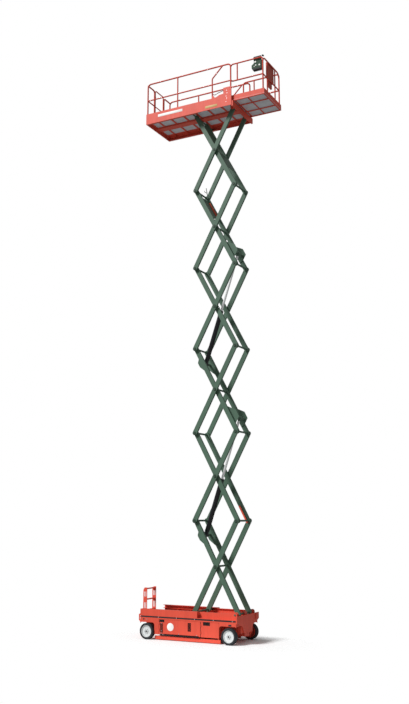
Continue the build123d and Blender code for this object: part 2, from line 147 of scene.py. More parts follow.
# Lift cylinders, measured along the barrel from its foot
BARREL_END, WIPER_LENGTH, WIPER_EDGE = 1.4498, 0.0162, 0.007
WIPER_BORE, WIPER_RADIUS, WIPER_LIP = 0.0318, 0.047, 0.042
BAND_PLACES, BAND_WIDTH = (0.10, 1.30, 1.375), 0.026
BAND_INNER, BAND_OUTER = 0.0545, 0.0605

# Platform sides and rails
PLATE_Y, PLATE_EDGE = (SKIRT_Y - SINK, 0.6462), 0.0008
LONG_PLATE = ((-2.200, -1.420), (FLOOR_Z + 0.018, FLOOR_Z + 0.094))
SMALL_PLATE = ((-0.713, -0.351), (FLOOR_Z - 0.078, FLOOR_Z - 0.008))
POST_BOLTS = ((-0.062, 0.310), (-0.050, 0.235), (-0.085, 0.150), (-0.060, 0.085), (-0.080, -0.015))
LANYARD = ((-0.500, 0.335), (-0.470, 0.285), (-0.420, 0.272), (-0.340, 0.305), (-0.165, 0.340))
LANYARD_Y, LANYARD_RADIUS = 0.622, 0.009
LOOP_X, LOOP_Y, LOOP_POST_X = (0.962, 0.010), -0.543, 0.210
POST_EASE = 0.001
POST_BOLT_SHARE = 0.7
SHEET_THICKNESS, ROLL_SHEET_THICKNESS = 0.0124, 0.0084
SHEET_SKIN, SHEET_TOP = 0.0005, 0.004
PANEL_Y, ROLL_PANEL_Y = (0.10, 0.45), (0.0, 0.555)

# Control box, counted from the top rail
BOX_TRAY, BOX_HANGER = -0.262, 0.030
LAMPS = ((0.733, -0.087, 0.026), (0.748, -0.186, 0.019), (0.852, -0.197, 0.024), (0.700, -0.215, 0.014))
LAMP_Y, LAMP_RIM, LAMP_EDGE, LAMP_HEIGHT, LAMP_CROWN = -0.5178, 0.006, 0.005, 0.010, 0.001
LEVER_PLACE, LEVER_LENGTH, LEVER_RADIUS = (0.800, -0.445), 0.038, 0.007
LEVER_BOOT = ((0, -0.001), (0.030, -0.001), (0.022, 0.018), (0.012, 0.028), (0, 0.028))
KNOB_RISE, KNOB_RADIUS = 0.042, 0.015
CORNER_CAP, CORNER_CAP_EDGE = ((0.944, 0.986), (-0.572, -0.500), (0.021, 0.045)), 0.006

# Bolt heads, as shares of the head's radius and height
WASHER_RADIUS, WASHER_HEIGHT, HEAD_HEIGHT = 1.5, 0.35, 0.7

# Smoothing of small pieces, and the key light
SHARP_ANGLE = math.radians(32)
KEY_DIRECTION, KEY_SPREAD = (0.42, 0.60, -0.60), math.radians(14)

# Colours that stay as they are
POCKET_BLACK = (0.012, 0.012, 0.013)
TRAY_BLACK = (0.030, 0.032, 0.035)
# Painted shade: the lanyard wires' red, the machine red darkened to look shaded
PAINTED_SHADE_RED = (0.20, 0.03, 0.02)
BARE_STEEL = (0.11, 0.085, 0.075)
# Black of the painted groove shade and of the darker rim edge on the wheel discs
GROOVE_SHADE_AND_EDGE_BLACK = (0.09, 0.09, 0.095)


# Shader maths

class Wire:
    """A socket of one shader tree, with the sums that the finishes use."""

    def __init__(self, shader, socket):
        self.shader = shader
        self.socket = socket

    def maths(self, operation, *values):
        return self.shader.node("ShaderNodeMath", {"operation": operation}, dict(enumerate(values)))

    def __add__(self, other):
        return self.maths("ADD", self, other)

    def __radd__(self, other):
        return self.maths("ADD", other, self)

    def __sub__(self, other):
        return self.maths("SUBTRACT", self, other)

    def __rsub__(self, other):
        return self.maths("SUBTRACT", other, self)

    def __mul__(self, other):
        return self.maths("MULTIPLY", self, other)

    def over(self, limit):
        return self.maths("GREATER_THAN", self, limit)

    def under(self, limit):
        return self.maths("LESS_THAN", self, limit)

    def size(self):
        return self.maths("ABSOLUTE", self)

    def root(self):
        return self.maths("SQRT", self)

    def wave(self):
        return self.maths("SINE", self)

    def either(self, other):
        return self.maths("MAXIMUM", self, other)

    def between(self, low, high):
        return self.over(low) * self.under(high)


class Shader:
    """A material's tree, built from expressions on wires."""

    def __init__(self, name):
        self.material = bpy.data.materials.new(name)
        self.material.use_nodes = True
        self.tree = self.material.node_tree
        self.tree.nodes.clear()
        self.place = self.node("ShaderNodeTexCoord", {}, {}, output="Object")

    def node(self, kind, settings, inputs, output=0):
        made = self.tree.nodes.new(kind)
        for key, value in settings.items():
            if key == "stops":
                self.set_stops(made, value)
            else:
                setattr(made, key, value)
        for key, value in inputs.items():
            if isinstance(value, Wire):
                self.tree.links.new(value.socket, made.inputs[key])
            else:
                made.inputs[key].default_value = value
        return None if output is None else Wire(self, made.outputs[output])

    def set_stops(self, ramp, stops):
        while len(ramp.color_ramp.elements) < len(stops):
            ramp.color_ramp.elements.new(0.5)
        for element, (position, level) in zip(ramp.color_ramp.elements, stops):
            element.position = position
            element.color = (level, level, level, 1)

    def axes(self):
        split = self.node("ShaderNodeSeparateXYZ", {}, {0: self.place})
        outs = split.socket.node.outputs
        return Wire(self, outs[0]), Wire(self, outs[1]), Wire(self, outs[2])

    def noise(self, scale, detail=3.0, stretch=(1, 1, 1)):
        place = self.node("ShaderNodeMapping", {}, {"Vector": self.place, "Scale": stretch})
        settings = {"Vector": place, "Scale": scale, "Detail": detail}
        return self.node("ShaderNodeTexNoise", {}, settings)

    def ramp(self, value, stops):
        return self.node("ShaderNodeValToRGB", {"stops": stops}, {0: value})

    def mix(self, factor, first, second, kind="MIX"):
        first = first if isinstance(first, Wire) else (*first, 1)
        second = second if isinstance(second, Wire) else (*second, 1)
        settings = {"data_type": "RGBA", "blend_type": kind}
        return self.node("ShaderNodeMix", settings, {0: factor, 6: first, 7: second}, output=2)

    def bump(self, height, strength, distance):
        inputs = {"Height": height, "Strength": strength, "Distance": distance}
        return self.node("ShaderNodeBump", {}, inputs)

    def finish(self, color, roughness, normal=None, metallic=0.0, coat=0.0, specular=0.5):
        color = color if isinstance(color, Wire) else (*color, 1)
        inputs = {"Base Color": color, "Roughness": roughness, "Metallic": metallic}
        inputs["Coat Weight"] = coat
        inputs["Specular IOR Level"] = specular
        if normal is not None:
            inputs["Normal"] = normal
        surface = self.node("ShaderNodeBsdfPrincipled", {}, inputs)
        self.node("ShaderNodeOutputMaterial", {}, {0: surface}, output=None)
        return self.material


def enamel(shader, color, roughness=0.46, coat=0.04, wear=0.5):
    """Sprayed paint over steel: tone drift, rain streaks, scuffs and fine orange peel."""
    drift = shader.ramp(shader.noise(1.1, 3.0), [(0.32, 0.88), (0.68, 1.0)])
    streaks = shader.ramp(shader.noise(14.0, 3.0, (1, 1, 0.08)), [(0.3, 0.90), (0.6, 1.0)])
    tone = shader.mix(1.0, shader.mix(1.0, color, drift, "MULTIPLY"), streaks, "MULTIPLY")
    scuff = shader.ramp(shader.noise(38.0, 6.0), [(0.66, 0.0), (0.72, 1.0)])
    spread = shader.ramp(shader.noise(2.3, 2.0), [(0.5, 0.0), (0.66, 1.0)])
    chips = scuff * spread * wear
    tone = shader.mix(chips, tone, BARE_STEEL)
    rough = roughness + (shader.noise(16.0) - 0.5) * 0.14 + chips * 0.3
    peel = shader.noise(520.0, 2.0) * 0.4 + shader.noise(3.0, 1.0) * 0.6
    return shader.finish(tone, rough, shader.bump(peel, 0.06, 0.0012), coat=coat, specular=0.22)


def paint(name, color, **look):
    return enamel(Shader(name), color, **look)


def barred_green(name, green, red, k, along, off):
    """Arm paint with one bar of the arm, the stack's prop, in the given prop red, made brighter partly as
    painted light.
    """
    shader = Shader(name)
    x, y, z = shader.axes()
    length = math.hypot(REACH, ROW)
    ux, uz = -REACH / length, ROW / length
    dx, dz = x - PIVOT.x, z - level(k - 1)
    run = dx * ux + dz * uz
    rise = dx * -uz + dz * ux
    bar = y.between(*PROP_Y) * run.between(*along) * rise.between(*off)
    return enamel(shader, shader.mix(bar, green, red), roughness=0.5, coat=0.0)


def deck_paint(name, red, grey, sheet_low, sheet_high, inner, outer):
    """Red ribs under a grey floor whose underside shows in panels between them."""
    shader = Shader(name)
    x, y, z = shader.axes()
    panel = z.over(sheet_low) * y.size().between(inner, outer) * z.under(sheet_high)
    top = z.between(sheet_high - SHEET_TOP, sheet_high)
    grey_tone = shader.mix(shader.noise(7.0, 4.0), [c * 0.80 for c in grey], [c * 1.12 for c in grey])
    color = shader.mix(panel.either(top), red, grey_tone)
    return enamel(shader, color, roughness=0.5, coat=0.0, wear=0.3)


def wheel_paint(name, disc, red, axle_x, axle_z):
    """Pale outer disc with a dark ring line painted as a groove's shade, darker towards the tyre, and the
    machine's red on the inner face.
    """
    shader = Shader(name)
    x, y, z = shader.axes()
    dx, dz = x - axle_x, z - axle_z
    radius = (dx * dx + dz * dz).root()
    outside = y.size().over(DISC_FACE_Y)
    shade = shader.mix(shader.noise(24.0, 4.0), [c * 0.86 for c in disc], [min(1.0, c * 1.06) for c in disc])
    # A dark ring line painted as a groove's shade, and the disc darker towards the tyre
    groove_shade_line = radius.between(*GROOVE_SHADE_RADII)
    rim_edge_dark = radius.over(RIM_EDGE_DARK_RADIUS) * 0.45
    shade = shader.mix(groove_shade_line.either(rim_edge_dark), shade, GROOVE_SHADE_AND_EDGE_BLACK)
    return enamel(shader, shader.mix(outside, red, shade), roughness=0.45, coat=0.05, wear=0.4)


def rubber(name, color, axle=None):
    """Solid rubber: grey bloom, scuffs, and fine moulded rings on a wheel's sidewall."""
    shader = Shader(name)
    patch = shader.noise(9.0, 4.0)
    shade = shader.mix(patch, [c * 0.7 for c in color], [c * 1.7 for c in color])
    height = shader.noise(260.0, 4.0)
    if axle:
        x, y, z = shader.axes()
        dx, dz = x - axle[0], z - axle[1]
        radius = (dx * dx + dz * dz).root()
        rings = (radius * RING_WAVES).wave() * radius.between(*RING_RADII)
        height = height * 0.5 + rings
    return shader.finish(shade, 0.70 + patch * 0.2, shader.bump(height, 0.25, 0.0010), specular=0.3)


def chromed(name, color, eye, foot, axis, plated):
    """Polished plating with faint draw marks, up to the painted eye at the rod's end."""
    shader = Shader(name)
    x, y, z = shader.axes()
    run = (x - foot.x) * axis.x + (y - foot.y) * axis.y + (z - foot.z) * axis.z
    painted = run.over(plated)
    lines = shader.noise(90.0, 2.0, (1, 1, 0.02))
    shade = shader.mix(painted, color, eye)
    prop_red_and_painted_light = (1 - painted) * 0.55
    rough = 0.22 + lines * 0.14 + painted * 0.3
    return shader.finish(shade, rough, shader.bump(lines, 0.03, 0.0003), metallic=prop_red_and_painted_light)


def steel(name, color, roughness=0.35):
    """Plain zinc plated steel with cloudy spangle."""
    shader = Shader(name)
    spangle = shader.noise(70.0, 2.0)
    shade = shader.mix(spangle, [c * 0.8 for c in color], color)
    return shader.finish(shade, roughness + spangle * 0.15, shader.bump(spangle, 0.05, 0.0004), metallic=0.9)


def plastic(name, color, roughness=0.5):
    """Moulded plastic with a fine grain."""
    shader = Shader(name)
    drift = shader.noise(6.0, 2.0)
    shade = shader.mix(drift, [c * 0.86 for c in color], [min(1, c * 1.1) for c in color])
    grain = shader.bump(shader.noise(600.0, 3.0), 0.12, 0.0005)
    return shader.finish(shade, roughness + drift * 0.1, grain, specular=0.2)


def box_shell(name, green, dark, low, high):
    """The control box: green shell with a dark lower tray and a dark hanger."""
    shader = Shader(name)
    x, y, z = shader.axes()
    ends = z.under(low).either(z.over(high))
    shade = shader.mix(shader.noise(9.0, 3.0), [c * 0.8 for c in green], [c * 1.15 for c in green])
    grain = shader.bump(shader.noise(500.0, 3.0), 0.15, 0.0006)
    return shader.finish(shader.mix(ends, shade, dark), 0.6, grain, specular=0.15)


def case_shell(name, color):
    """The document case: moulded sheet with a fine dimple pattern."""
    shader = Shader(name)
    drift = shader.noise(12.0, 4.0)
    shade = shader.mix(drift, [c * 0.75 for c in color], [c * 1.2 for c in color])
    dimples = shader.node("ShaderNodeTexVoronoi", {}, {"Vector": shader.place, "Scale": 90.0})
    return shader.finish(shade, 0.6, shader.bump(dimples, 0.3, 0.0010), specular=0.2)


# Settings that a user would change

def color_setting(name, description, default):
    return FloatVectorProperty(name=name, description=description, subtype="COLOR", size=3,
                               min=0.0, max=1.0, default=default)


class LiftFinish(bpy.types.PropertyGroup):
    red: color_setting("Machine paint", "Paint of the chassis, rails and panels", (0.72, 0.088, 0.052))
    # The safety props' own red, made brighter than the machine red partly as painted light
    prop: color_setting("Prop paint", "Paint of the safety props", (0.95, 0.150, 0.085))
    rail: color_setting("Rail paint", "Paint of the rails", (0.60, 0.058, 0.030))
    green: color_setting("Arm paint", "Paint of the scissor arms", (0.078, 0.142, 0.098))
    rim: color_setting("Wheel paint", "Paint of the wheel discs", (0.74, 0.77, 0.77))
    tyre: color_setting("Tyre rubber", "Colour of the solid tyres", (0.020, 0.022, 0.025))
    black: color_setting("Barrel paint", "Paint of the cylinder barrels", (0.010, 0.011, 0.013))
    rod: color_setting("Rod chrome", "Plating of the cylinder rods", (0.92, 0.93, 0.93))
    deck: color_setting("Deck panels", "Grey of the platform floor", (0.66, 0.665, 0.69))
    dark: color_setting("Dark steel", "Paint of the hidden steelwork", (0.028, 0.030, 0.032))
    box_green: color_setting("Control box", "Shell of the control box", (0.030, 0.066, 0.040))
    case_red: color_setting("Document case", "Shell of the document case", (0.42, 0.085, 0.060))
    plate: color_setting("Blank plates", "Face of the blank plates and discs", (0.86, 0.86, 0.84))
    label: color_setting("Small plates", "Face of the small blank plates", (0.55, 0.36, 0.14))
    eye_length: FloatProperty(name="Rod eye", description="Painted length at a rod's end",
                              default=0.13, unit="LENGTH")
    zinc: color_setting("Fasteners", "Plating of bolts, clips and pins", (0.55, 0.56, 0.57))


class LiftPieces(bpy.types.PropertyGroup):
    cap_radius: FloatProperty(name="Pin cap radius", description="Radius of the caps on the arm pins",
                              default=0.034, unit="LENGTH")
    bolt_radius: FloatProperty(name="Bolt radius", description="Radius of a bolt's head",
                               default=0.009, unit="LENGTH")
    tube_radius: FloatProperty(name="Rail radius", description="Radius of the rail tubes",
                               default=0.019, unit="LENGTH")
    tube_bend: FloatProperty(name="Rail bend", description="Bend radius of the rail tubes",
                             default=0.080, unit="LENGTH")
    wheel_nuts: IntProperty(name="Wheel nuts", description="Nuts on each wheel", default=6)
    disc_radius: FloatProperty(name="Door disc radius", description="Radius of the blank door disc",
                               default=0.092, unit="LENGTH")


class LiftStage(bpy.types.PropertyGroup):
    camera_x: FloatProperty(name="Camera X", description="Camera place along the machine",
                            default=10.320, unit="LENGTH")
    camera_y: FloatProperty(name="Camera Y", description="Camera place across the machine",
                            default=-19.906, unit="LENGTH")
    camera_z: FloatProperty(name="Camera height", description="Camera height over the floor",
                            default=2.962, unit="LENGTH")
    heading: FloatProperty(name="Heading", description="Camera turn to the left of straight across",
                           default=math.radians(27.9), subtype="ANGLE")
    pitch: FloatProperty(name="Pitch", description="Camera tilt above level",
                         default=math.radians(12.6), subtype="ANGLE")
    lens: FloatProperty(name="Lens", description="Focal length in millimetres", default=44.617)
    shift: FloatProperty(name="Shift", description="Vertical lens shift", default=-0.0449)
    sky: FloatProperty(name="Sky", description="Strength of the soft light all round", default=0.34)
    key: FloatProperty(name="Key", description="Strength of the key light", default=3.6)
    floor: color_setting("Floor", "Colour of the floor", (0.93, 0.93, 0.93))
    floor_reach: FloatProperty(name="Floor reach", description="Where the floor fades out ahead",
                               default=2.9, unit="LENGTH")
    floor_width: FloatProperty(name="Floor width", description="Where the floor fades out beside",
                               default=1.5, unit="LENGTH")


# Pieces

class Piece:
    """One piece under way, filled with shapes and then set on its body."""

    def __init__(self, name):
        self.name = name
        self.bm = bmesh.new()

    def block(self, low, high, bevel=0.0):
        low, high = Vector(map(min, low, high)), Vector(map(max, low, high))
        made = bmesh.ops.create_cube(self.bm, size=1)["verts"]
        bmesh.ops.scale(self.bm, vec=high - low, verts=made)
        bmesh.ops.translate(self.bm, vec=(low + high) / 2, verts=made)
        if bevel:
            edges = list({edge for vert in made for edge in vert.link_edges})
            bmesh.ops.bevel(self.bm, geom=edges, offset=bevel, segments=2, profile=0.5,
                            affect="EDGES", material=-1)
        return self

    def patch(self, side, x_span, z_span, y_span, bevel=0.0):
        """A flat block on one side of the machine."""
        low = at(x_span[0], side * y_span[0], z_span[0])
        return self.block(low, at(x_span[1], side * y_span[1], z_span[1]), bevel)

    def rod(self, start, end, radius, sides=20):
        start, end = Vector(start), Vector(end)
        span = end - start
        made = bmesh.ops.create_cone(self.bm, cap_ends=True, segments=sides, radius1=radius,
                                     radius2=radius, depth=span.length)["verts"]
        turn = span.to_track_quat("Z", "Y").to_matrix()
        bmesh.ops.rotate(self.bm, matrix=turn, verts=made, cent=(0, 0, 0))
        bmesh.ops.translate(self.bm, vec=(start + end) / 2, verts=made)
        return self

    def turned(self, profile, place, steps=36):
        """A closed profile of (radius, height) pairs spun about its own axis."""
        shape = bmesh.new()
        verts = [shape.verts.new((r, 0, h)) for r, h in profile]
        ring = list(zip(verts, verts[1:] + verts[:1]))
        edges = [shape.edges.new(pair) for pair in ring]
        bmesh.ops.spin(shape, geom=verts + edges, cent=(0, 0, 0), axis=(0, 0, 1),
                       angle=2 * math.pi, steps=steps, use_merge=True)
        bmesh.ops.remove_doubles(shape, verts=shape.verts, dist=1e-6)
        flat = [face for face in shape.faces if face.calc_area() < 1e-12]
        bmesh.ops.delete(shape, geom=flat, context="FACES")
        bmesh.ops.recalc_face_normals(shape, faces=shape.faces)
        bmesh.ops.transform(shape, matrix=place, verts=shape.verts)
        carrier = bpy.data.meshes.new("turned")
        shape.to_mesh(carrier)
        shape.free()
        self.bm.from_mesh(carrier)
        bpy.data.meshes.remove(carrier)
        return self

    def ball(self, centre, radius):
        made = bmesh.ops.create_uvsphere(self.bm, u_segments=20, v_segments=12, radius=radius)["verts"]
        bmesh.ops.translate(self.bm, vec=Vector(centre), verts=made)
        return self

    def bent_bar(self, points, radius):
        for start, end in zip(points, points[1:]):
            self.rod(start, end, radius, 12)
        for corner in points[1:-1]:
            self.ball(corner, radius)
        return self

    def pipe(self, points, radius, bend):
        """A tube along the points, with a true bend at each corner."""
        start = Vector(points[0])
        for corner, after in zip(points[1:], points[2:]):
            corner = Vector(corner)
            ahead, turned = (corner - start).normalized(), (Vector(after) - corner).normalized()
            angle = ahead.angle(turned)
            cut = bend * math.tan(angle / 2)
            entry = corner - ahead * cut
            axis = ahead.cross(turned).normalized()
            self.rod(start, entry, radius, 16)
            ring = bmesh.ops.create_circle(self.bm, segments=16, radius=radius)["verts"]
            bmesh.ops.transform(self.bm, matrix=facing(entry, ahead), verts=ring)
            edges = list({edge for vert in ring for edge in vert.link_edges})
            bmesh.ops.spin(self.bm, geom=ring + edges, cent=entry + axis.cross(ahead) * bend, axis=axis,
                           angle=angle, steps=8)
            start = corner + turned * cut
        return self.rod(start, points[-1], radius, 16)

    def bolt(self, centre, towards, radius, height=None):
        height = height or radius * HEAD_HEIGHT
        centre, towards = Vector(centre), Vector(towards)
        self.rod(centre, centre + towards * height * WASHER_HEIGHT, radius * WASHER_RADIUS)
        self.rod(centre, centre + towards * height, radius, 6)
        return self

    def set_on(self, body, material):
        mesh = bpy.data.meshes.new(self.name)
        bmesh.ops.recalc_face_normals(self.bm, faces=self.bm.faces)
        self.bm.to_mesh(mesh)
        self.bm.free()
        mesh.polygons.foreach_set("use_smooth", [True] * len(mesh.polygons))
        mesh.set_sharp_from_angle(angle=SHARP_ANGLE)
        mesh.materials.append(material)
        made = bpy.data.objects.new(self.name, mesh)
        bpy.context.scene.collection.objects.link(made)
        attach(made, body)
        return made


def narrowed(span):
    """A liner's span, a little inside its pocket's."""
    return span[0] + LINER_GAP, span[1] - LINER_GAP


def button(radius, rim, edge, height, crown=0.0):
    """The profile of a round cap with an eased edge."""
    return [(0, 0), (radius, 0), (radius, rim), (radius - edge, height), (0, height + crown)]


def facing(centre, direction):
    """Places a turned shape with its height along a direction."""
    turn = Vector(direction).to_track_quat("Z", "Y").to_matrix().to_4x4()
    return Matrix.Translation(Vector(centre)) @ turn


def finish_named(name, maker, *values, **look):
    """The material of that name, made once."""
    return bpy.data.materials.get(name) or maker(name, *values, **look)


def zinc_plate(look):
    return finish_named("zinc", steel, tuple(look.zinc))


def white_plate(look):
    return finish_named("blank_plate", plastic, tuple(look.plate), 0.35)


def pocket_black():
    return finish_named("pocket_black", plastic, POCKET_BLACK, 0.7)


def clothe(material, *nodes):
    for node in nodes:
        slots = bpy.data.objects[node].data.materials
        slots.clear()
        slots.append(material)


def nodes_like(*beginnings):
    return [n for n in frame["nodes"] if n.startswith(beginnings)]


class LIFT_OT_paintwork(bpy.types.Operator):
    """Give each piece of the frame its paint, rubber or plating"""
    bl_idname = "lift.paintwork"
    bl_label = "Paintwork"

    def execute(self, context):
        look = context.scene.lift_finish
        red, green, deck = tuple(look.red), tuple(look.green), tuple(look.deck)
        clothe(finish_named("machine_red", paint, red),
               *nodes_like("chassis", "linkage", "ladder", "rear_door", "front_door", "knuckle",
                           "pothole", "deck_sides"))
        clothe(finish_named("rail_red", paint, tuple(look.rail)),
               *nodes_like("platform_rails", "entry_gate", "extension_rails"))
        clothe(finish_named("arm_green", paint, green, roughness=0.5, coat=0.0),
               *nodes_like("inner_arms", "outer_arms"))
        # The props' brighter red is partly painted light
        prop_red_and_painted_light = tuple(look.prop)
        clothe(barred_green("arm_green_lower_prop", green, prop_red_and_painted_light, 2, *LOWER_PROP),
               "inner_arms_2")
        clothe(barred_green("arm_green_upper_prop", green, prop_red_and_painted_light, 5, *UPPER_PROP),
               "inner_arms_5")
        for name in ("wheel_front_left_spin", "wheel_rear_left_spin"):
            end = name.split("_")[1]
            axle = joint_place(name)
            disc = wheel_paint("wheel_paint_" + end, tuple(look.rim), red, axle.x, axle.z)
            clothe(disc, *nodes_like("rim_" + end))
            tread = rubber("tyre_rubber_" + end, tuple(look.tyre), (axle.x, axle.z))
            clothe(tread, *nodes_like("tyre_" + end))
        clothe(paint("barrel_black", tuple(look.black), roughness=0.25, coat=0.4, wear=0.2),
               *nodes_like("lift_barrel"))
        for end in ("lower", "upper"):
            foot = joint_place("cylinder_base_" + end)
            axis = Vector(JOINTS["cylinder_rod_" + end]["axis"]).normalized()
            mesh = bpy.data.objects["lift_rod_" + end].data
            tip = max((vertex.co - foot).dot(axis) for vertex in mesh.vertices)
            plated = tip - look.eye_length
            rod = chromed("rod_chrome_" + end, tuple(look.rod), green, foot, axis, plated)
            clothe(rod, "lift_rod_" + end)
        clothe(deck_paint("deck_paint", red, deck, FLOOR_Z - SHEET_THICKNESS, FLOOR_Z + SHEET_SKIN, *PANEL_Y),
               "deck_frame")
        clothe(deck_paint("roll_deck_paint", red, deck, ROLL_FLOOR_Z - ROLL_SHEET_THICKNESS,
                          ROLL_FLOOR_Z + SHEET_SKIN, *ROLL_PANEL_Y), "extension_deck")
        clothe(finish_named("dark_steel", paint, tuple(look.dark)), *nodes_like("battery", "hydraulic"))
        clothe(box_shell("control_shell", tuple(look.box_green), TRAY_BLACK,
                         RAIL_Z + BOX_TRAY, RAIL_Z + BOX_HANGER), "control_box")
        clothe(case_shell("document_shell", tuple(look.case_red)), "document_box")
        return {"FINISHED"}


class LIFT_OT_seam_strips(bpy.types.Operator):
    """Lay the black rubber strips and their clips in the side seams of the chassis"""
    bl_idname = "lift.seam_strips"
    bl_label = "Seam strips"

    def execute(self, context):
        look, sizes = context.scene.lift_finish, context.scene.lift_pieces
        strips = Piece("seam_strips")
        clips = Piece("seam_clips")
        slots = Piece("arch_slots")
        for _, side in SIDES:
            out = (0, side, 0)
            strips.patch(side, SEAM_X, SEAM_Z, SEAM_Y, SEAM_EDGE)
            for n in range(SEAM_CLIPS):
                spot = at(FIRST_CLIP_X + n * CLIP_STEP, side * SKIN_Y, CLIP_Z)
                clips.bolt(spot, out, sizes.bolt_radius, CLIP_HEIGHT)
            tail = at(TAIL_BOLT[0], side * SKIN_Y, TAIL_BOLT[1])
            clips.bolt(tail, out, sizes.bolt_radius * TAIL_BOLT_SHARE)
            for x_span, z_span in ARCH_SLOTS:
                slots.patch(side, x_span, z_span, ARCH_SLOT_Y, ARCH_SLOT_EDGE)
        dark = finish_named("seal_black", rubber, tuple(look.tyre))
        strips.set_on("chassis", dark)
        slots.set_on("chassis", dark)
        clips.set_on("chassis", zinc_plate(look))
        return {"FINISHED"}


class LIFT_OT_door_fittings(bpy.types.Operator):
    """Line the pockets of the side doors and add the latches and the blank discs"""
    bl_idname = "lift.door_fittings"
    bl_label = "Door fittings"

    def surround(self, piece, side, outer, opening):
        """A thin dark frame on the door's face, round a pocket's opening."""
        outer_x, (foot, top) = outer
        inner_x, (sill, head) = opening
        piece.patch(side, outer_x, (foot, sill), FRAME_Y)
        piece.patch(side, outer_x, (head, top), FRAME_Y)
        piece.patch(side, (outer_x[0], inner_x[0]), (sill, head), FRAME_Y)
        piece.patch(side, (inner_x[1], outer_x[1]), (sill, head), FRAME_Y)

    def line(self, piece, side, pockets):
        for x_span, z_span in pockets:
            piece.patch(side, narrowed(x_span), narrowed(z_span), LINER_Y)

    def execute(self, context):
        look, sizes = context.scene.lift_finish, context.scene.lift_pieces
        dark = pocket_black()
        zinc = zinc_plate(look)
        white = white_plate(look)
        for name, side in SIDES:
            out = (0, side, 0)
            rear = Piece("rear_door_liners_" + name)
            slots = COOLING_SLOTS + VENT_SLOTS
            self.line(rear, side, [REAR_POCKET, SILL_POCKET] + slots)
            rear.patch(side, *REAR_LATCH, LATCH_Y, LATCH_EDGE)
            self.surround(rear, side, REAR_POCKET_FRAME, REAR_POCKET)
            for x_span, (foot, _) in slots:
                rear.patch(side, x_span, (foot + SLAT_Z[0], foot + SLAT_Z[1]), SLAT_Y)
            rear.set_on("rear_door_" + name, dark)
            # Dark strips of painted shade in the door gaps and below the door
            gap_shade_strips = Piece("door_seals_" + name)
            for x in GAP_SHADE_X:
                gap_shade_strips.patch(side, (x, x + GAP_SHADE_WIDTH), GAP_SHADE_Z, GAP_SHADE_Y)
            gap_shade_strips.patch(side, *SILL_SHADE_STRIP, SILL_SHADE_STRIP_Y)
            gap_shade_strips.set_on("chassis", dark)
            front = Piece("front_door_liner_" + name)
            self.line(front, side, [FRONT_POCKET])
            front.patch(side, *FRONT_LATCH, LATCH_Y, LATCH_EDGE)
            self.surround(front, side, FRONT_POCKET_FRAME, FRONT_POCKET)
            front.set_on("front_door_" + name, dark)
            disc = Piece("door_disc_" + name)
            disc_x, disc_z = DISC_PLACE
            face = button(sizes.disc_radius, DISC_RIM, DISC_EDGE, DISC_HEIGHT)
            disc.turned(face, facing(at(disc_x, side * (SKIN_Y - SINK), disc_z), out), 48)
            disc.set_on("rear_door_" + name, white)
            bolts = Piece("door_bolts_" + name)
            for x, z, share in DOOR_BOLTS:
                bolts.bolt(at(x, side * DOOR_BOLT_Y, z), out, sizes.bolt_radius * share)
            bolts.set_on("rear_door_" + name, zinc)
        return {"FINISHED"}


class LIFT_OT_wheel_fittings(bpy.types.Operator):
    """Cap the hubs and fit the wheel nuts"""
    bl_idname = "lift.wheel_fittings"
    bl_label = "Wheel fittings"

    def execute(self, context):
        look, sizes = context.scene.lift_finish, context.scene.lift_pieces
        dark = pocket_black()
        zinc = zinc_plate(look)
        for name, side in SIDES:
            out = (0, side, 0)
            for end in ("front", "rear"):
                axle = joint_place("wheel_%s_%s_spin" % (end, name))
                cap = Piece("hub_cap_%s_%s" % (end, name))
                face = button(HUB_CAP_RADIUS, HUB_CAP_RIM, HUB_CAP_EDGE, HUB_CAP_HEIGHT)
                cap.turned(face, facing((axle.x, side * HUB_Y, axle.z), out), 32)
                cap.set_on("wheel_%s_%s" % (end, name), dark)
                nuts = Piece("wheel_nuts_%s_%s" % (end, name))
                for n in range(sizes.wheel_nuts):
                    turn = 2 * math.pi * n / sizes.wheel_nuts
                    x, z = NUT_CIRCLE * math.cos(turn), NUT_CIRCLE * math.sin(turn)
                    nuts.bolt((axle.x + x, side * NUT_Y, axle.z + z), out, NUT_RADIUS, NUT_HEIGHT)
                nuts.set_on("wheel_%s_%s" % (end, name), zinc)
        return {"FINISHED"}


